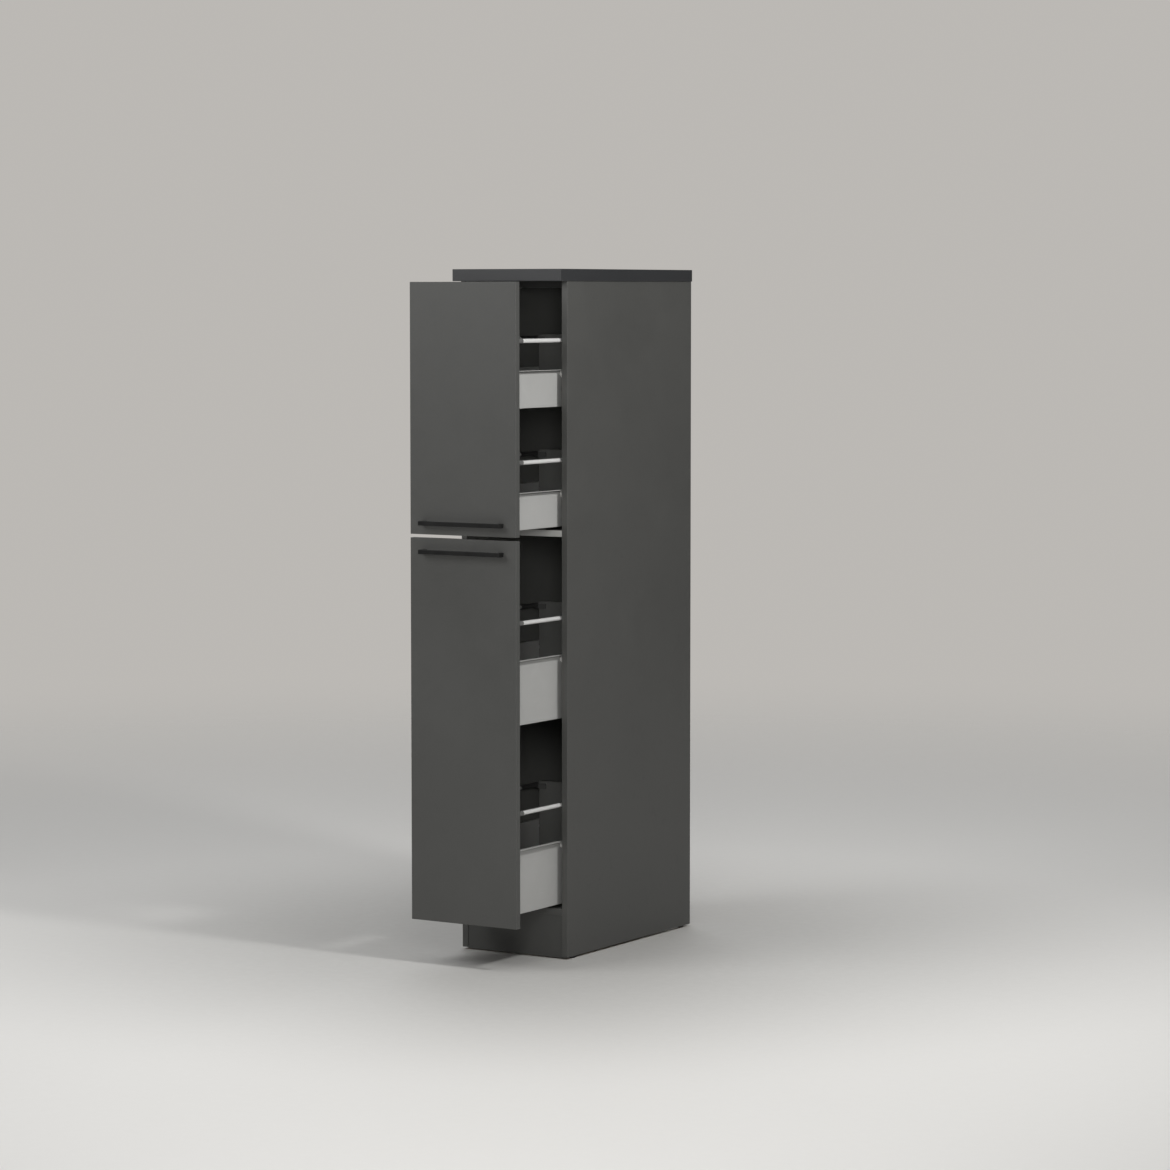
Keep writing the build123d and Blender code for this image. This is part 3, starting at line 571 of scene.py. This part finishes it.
# ------------------------------------------------------- screws made in detail
def islands(node):
    """The separate solids of a CAD node, each as a list of its corner points."""
    bm = bmesh.new()
    bm.from_mesh(NODES[node].data)
    bmesh.ops.remove_doubles(bm, verts=bm.verts, dist=2e-6)
    seen, out = set(), []
    for v in bm.verts:
        if v in seen:
            continue
        seen.add(v)
        todo, part = [v], []
        while todo:
            a = todo.pop()
            part.append(a.co.copy())
            for e in a.link_edges:
                b = e.other_vert(a)
                if b not in seen:
                    seen.add(b)
                    todo.append(b)
        out.append(part)
    bm.free()
    return out


def lathe(bm, profile, segs):
    """Closed turned solid about Z; the profile runs from one pole to the other."""
    rings = []
    for r, z in profile:
        if r == 0.0:
            rings.append([bm.verts.new((0.0, 0.0, z))])
        else:
            rings.append([bm.verts.new((r * math.cos(2 * math.pi * k / segs), r * math.sin(2 * math.pi * k / segs), z))
                          for k in range(segs)])
    for a, b in zip(rings, rings[1:]):
        for k in range(segs):
            j = (k + 1) % segs
            if len(a) == 1:
                bm.faces.new((a[0], b[j], b[k]))
            elif len(b) == 1:
                bm.faces.new((a[k], a[j], b[0]))
            else:
                bm.faces.new((a[k], a[j], b[j], b[k]))


def screw_mesh(head_r, head_h, shank_r, length, pitch, pointed):
    """Pan-head screw: crowned head with a cross recess, threaded shank.
    The head's underside is at Z = 0 and the shank points down."""
    bm = bmesh.new()
    crown = [(1.00, 0.00), (1.00, 0.30), (0.97, 0.52), (0.90, 0.72), (0.78, 0.87), (0.60, 0.96), (0.34, 1.00)]
    lathe(bm, [(0.0, 0.0)] + [(head_r * a, head_h * b) for a, b in crown] + [(0.0, head_h)], 32)
    bmesh.ops.recalc_face_normals(bm, faces=bm.faces)
    head_me = bpy.data.meshes.new("head")
    bm.to_mesh(head_me)
    bm.free()
    bm = bmesh.new()
    arm, wide, deep = 0.56 * head_r, 0.135 * head_r, 0.72 * head_h
    for turn in (0.0, math.pi / 2):
        top = [(-arm, -wide), (arm, -wide), (arm, wide), (-arm, wide)]
        hi = [Vector((x, y, head_h * 1.1)) for x, y in top]
        lo = [Vector((x * 0.62, y * 0.72, head_h - deep)) for x, y in top]
        vs = [bm.verts.new(Matrix.Rotation(turn, 3, "Z") @ v) for v in lo + hi]
        bm.faces.new(vs[0:4][::-1])
        bm.faces.new(vs[4:8])
        for k in range(4):
            j = (k + 1) % 4
            bm.faces.new((vs[k], vs[j], vs[4 + j], vs[4 + k]))
    bmesh.ops.recalc_face_normals(bm, faces=bm.faces)
    cut_me = bpy.data.meshes.new("recess")
    bm.to_mesh(cut_me)
    bm.free()
    head, cut = bpy.data.objects.new("head", head_me), bpy.data.objects.new("recess", cut_me)
    for o in (head, cut):
        scene.collection.objects.link(o)
    mod = head.modifiers.new("recess", "BOOLEAN")
    mod.operation, mod.solver, mod.object, mod.use_self = "DIFFERENCE", "EXACT", cut, True
    done = bpy.data.meshes.new_from_object(head.evaluated_get(bpy.context.evaluated_depsgraph_get()))
    bm = bmesh.new()
    bm.from_mesh(done)
    for o in (head, cut):
        bpy.data.objects.remove(o)
    for me in (head_me, cut_me, done):
        bpy.data.meshes.remove(me)
    root = shank_r * 0.80
    tip = 2.2 * shank_r if pointed else 0.35 * shank_r
    end = 0.12 * shank_r if pointed else 0.72 * root
    lathe(bm, [(0.0, -length), (end, -length), (root, -length + tip), (root, 0.05 * head_h), (0.0, 0.05 * head_h)], 16)
    # one ridge wound round the shank
    segs = 10
    start, stop = -0.7 * pitch, -length + (0.45 * tip if pointed else tip)
    steps = max(2, int((start - stop) / pitch * segs))
    prev = first = None
    for k in range(steps + 1):
        a, z = 2 * math.pi * k / segs, start - pitch * k / segs
        grow = min(1.0, k / 4.0, (steps - k) / 4.0)
        thin = min(1.0, max(0.25, (z + length) / tip)) if pointed else 1.0
        low, crest = root * thin * 0.93, root * thin + (shank_r - root) * max(0.06, grow) * thin
        ring = [bm.verts.new((r * math.cos(a), r * math.sin(a), z + dz))
                for r, dz in ((low, 0.24 * pitch), (crest, 0.0), (low, -0.24 * pitch))]
        if prev:
            for i in range(3):
                j = (i + 1) % 3
                bm.faces.new((prev[i], prev[j], ring[j], ring[i]))
        else:
            first = ring
        prev = ring
    bm.faces.new(first)
    bm.faces.new(prev[::-1])
    bmesh.ops.recalc_face_normals(bm, faces=bm.faces)
    return bm


def detailed_screws(node, body, pitch=1.5 * MM, pointed=True):
    """Every screw of the node again, in the same place, size and direction."""
    shapes, out = {}, bmesh.new()
    for pts in islands(node):
        lo = Vector([min(p[i] for p in pts) for i in range(3)])
        hi = Vector([max(p[i] for p in pts) for i in range(3)])
        # its axis is the one that the two like widths lie across
        size = hi - lo
        i = min(range(3), key=lambda k: abs(size[(k + 1) % 3] - size[(k + 2) % 3]))
        mid = (lo + hi) / 2
        far = [(math.hypot(*[p[k] - mid[k] for k in range(3) if k != i]), p[i]) for p in pts]
        head_r = max(r for r, a in far)
        wide = [a for r, a in far if r > 0.98 * head_r]
        at_hi = sum(wide) / len(wide) > mid[i]
        shank_r = min(r for r, a in far if r > 0.3 * head_r)
        under = min(a for r, a in far if r > 0.9 * head_r) if at_hi else max(a for r, a in far if r > 0.9 * head_r)
        head_h = (hi[i] - under) if at_hi else (under - lo[i])
        length = (hi[i] - lo[i]) - head_h
        key = tuple(round(v / MM, 2) for v in (head_r, head_h, shank_r, length))
        if key not in shapes:
            bm = screw_mesh(*[v * MM for v in key], pitch, pointed)
            shapes[key] = bpy.data.meshes.new("one_screw")
            bm.to_mesh(shapes[key])
            bm.free()
        up = Vector([0, 0, 0])
        up[i] = 1.0 if at_hi else -1.0
        place = Vector(mid)
        place[i] = under
        spin = Matrix.Rotation(math.radians((len(shapes) * 37 + len(out.verts) * 7) % 90), 4, "Z")
        m = Matrix.Translation(place) @ up.to_track_quat("Z", "Y").to_matrix().to_4x4() @ spin
        n = len(out.verts)
        out.from_mesh(shapes[key])
        out.verts.ensure_lookup_table()
        bmesh.ops.transform(out, matrix=m, verts=out.verts[n:])
    me = bpy.data.meshes.new(node + "_detail")
    out.to_mesh(me)
    out.free()
    for one in shapes.values():
        bpy.data.meshes.remove(one)
    o = bpy.data.objects.new(node + "_detail", me)
    scene.collection.objects.link(o)
    for p in me.polygons:
        p.use_smooth = True
    me.materials.append(zinc_screw.m)
    me.set_sharp_from_angle(angle=math.radians(34.0))
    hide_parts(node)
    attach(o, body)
    return sorted(shapes)


for nm, body in (("worktop_screws", "cabinet"), ("cabinet_rail_screws", "cabinet"),
                 ("upper_drawer_screws", "upper_pullout"), ("lower_drawer_screws", "lower_pullout")):
    detailed_screws(nm, body)
for u in ("upper", "lower"):
    detailed_screws(u + "_handle_screws", u + "_pullout", pitch=0.7 * MM, pointed=False)


# ----------------------------------------------------------------- the studio
def floor():
    """Pale round floor that fades out into the pale backdrop."""
    me = bpy.data.meshes.new("floor")
    n, r = 96, 9.0
    rim = [(r * math.cos(2 * math.pi * i / n), r * math.sin(2 * math.pi * i / n), 0.0) for i in range(n)]
    me.from_pydata(rim, [], [tuple(range(n))])
    o = bpy.data.objects.new("floor", me)
    scene.collection.objects.link(o)
    m = Mat("floor_plain")
    cloud = m.noise(1.3, 4.0, 0.55)
    fine = m.noise(40.0, 4.0, 0.6)
    colour = m.mix(m.span(cloud, 0.3, 0.7), (0.500, 0.494, 0.478), (0.522, 0.516, 0.500))
    colour = m.mix(m.span(fine, 0.3, 0.7, 0.0, 0.25), colour, (0.485, 0.479, 0.464))
    far = m.node("ShaderNodeVectorMath", operation="LENGTH")
    m.link(m.co, far.inputs[0])
    # painted light: the floor turns paler from 0.35 m to 1.7 m out from the middle, making up for weaker light there
    colour = m.mix(m.span(far.outputs["Value"], 0.35, 1.7, 0.0, 1.0, smooth=True), colour, (0.76, 0.75, 0.73))
    setp(m, color=colour, rough=m.span(fine, 0.3, 0.7, 0.55, 0.70), spec=0.25)
    gone = m.span(far.outputs["Value"], 2.0, 6.5, 0.0, 1.0, smooth=True)
    clear = m.node("ShaderNodeBsdfTransparent")
    fade = m.node("ShaderNodeMixShader")
    m.link(gone, fade.inputs[0])
    m.link(m.b.outputs["BSDF"], fade.inputs[1])
    m.link(clear.outputs[0], fade.inputs[2])
    m.link(fade.outputs[0], m.out.inputs["Surface"])
    me.materials.append(m.m)


floor()

world = scene.world or bpy.data.worlds.new("studio")
scene.world = world
world.use_nodes = True
wn = world.node_tree
wn.nodes.clear()
seen = wn.nodes.new("ShaderNodeBackground")       # the pale backdrop
seen.inputs[0].default_value = (0.500, 0.482, 0.458, 1.0)
glow = wn.nodes.new("ShaderNodeBackground")       # the room's soft light
glow.inputs[0].default_value = (0.060, 0.060, 0.0593, 1.0)
path = wn.nodes.new("ShaderNodeLightPath")
pick = wn.nodes.new("ShaderNodeMixShader")
wout = wn.nodes.new("ShaderNodeOutputWorld")
wn.links.new(path.outputs["Is Camera Ray"], pick.inputs[0])
wn.links.new(glow.outputs[0], pick.inputs[1])
wn.links.new(seen.outputs[0], pick.inputs[2])
wn.links.new(pick.outputs[0], wout.inputs["Surface"])


def sun(name, azimuth, elevation, strength, angle, colour=(1, 1, 1)):
    """azimuth 0 shines from the front (-Y), 90 from the right (+X)."""
    a, e = math.radians(azimuth), math.radians(elevation)
    src = Vector((math.sin(a) * math.cos(e), -math.cos(a) * math.cos(e), math.sin(e)))
    d = bpy.data.lights.new(name, "SUN")
    d.energy, d.angle, d.color = strength, math.radians(angle), colour
    o = bpy.data.objects.new(name, d)
    o.rotation_euler = src.to_track_quat("Z", "Y").to_euler()
    scene.collection.objects.link(o)
    return o


def area(name, place, target, size, watts, colour=(1, 1, 1)):
    d = bpy.data.lights.new(name, "AREA")
    d.shape, d.size, d.size_y = "RECTANGLE", size[0], size[1]
    d.energy, d.color = watts, colour
    o = bpy.data.objects.new(name, d)
    o.location = place
    o.rotation_euler = (Vector(place) - Vector(target)).to_track_quat("Z", "Y").to_euler()
    scene.collection.objects.link(o)
    return o


sun("high_right", 80.0, 65.0, 0.146, 15.0, (1.0, 0.995, 0.985))
sun("low_front", 33.0, 11.0, 0.13, 20.0, (1.0, 0.995, 0.985))
sun("fill_rear", 215.0, 40.0, 0.575, 40.0, (0.98, 0.99, 1.0))
sun("overhead", 0.0, 85.0, 0.775, 40.0, (1.0, 1.0, 0.995))
area("key_right", (2.0, -0.5, 2.5), (0.0, -0.1, 1.2), (0.28, 0.28), 32.5, (1.0, 0.995, 0.985))
area("front_left", (-1.2, -2.1, 2.4), (0.0, -0.4, 1.4), (1.3, 1.3), 25.0, (1.0, 1.0, 1.0))
area("front_low", (2.0, -3.3, 1.5), (0.0, 0.0, 0.8), (0.8, 0.8), 24.0, (1.0, 0.995, 0.985))
area("front_high", (2.6, -4.6, 2.4), (0.0, 0.0, 1.2), (1.2, 1.2), 6.0, (1.0, 0.995, 0.985))

cam_data = bpy.data.cameras.new("camera")
cam_data.sensor_width = 36.0
cam_data.lens = 116.65
cam_data.clip_start, cam_data.clip_end = 0.1, 200.0
cam = bpy.data.objects.new("camera", cam_data)
cam.location = (4.80229, -7.59632, 1.55527)
cam.rotation_euler = (math.radians(90.0 - 4.41), 0.0, math.radians(31.80))
scene.collection.objects.link(cam)
scene.camera = cam
scene.view_settings.view_transform = "Standard"
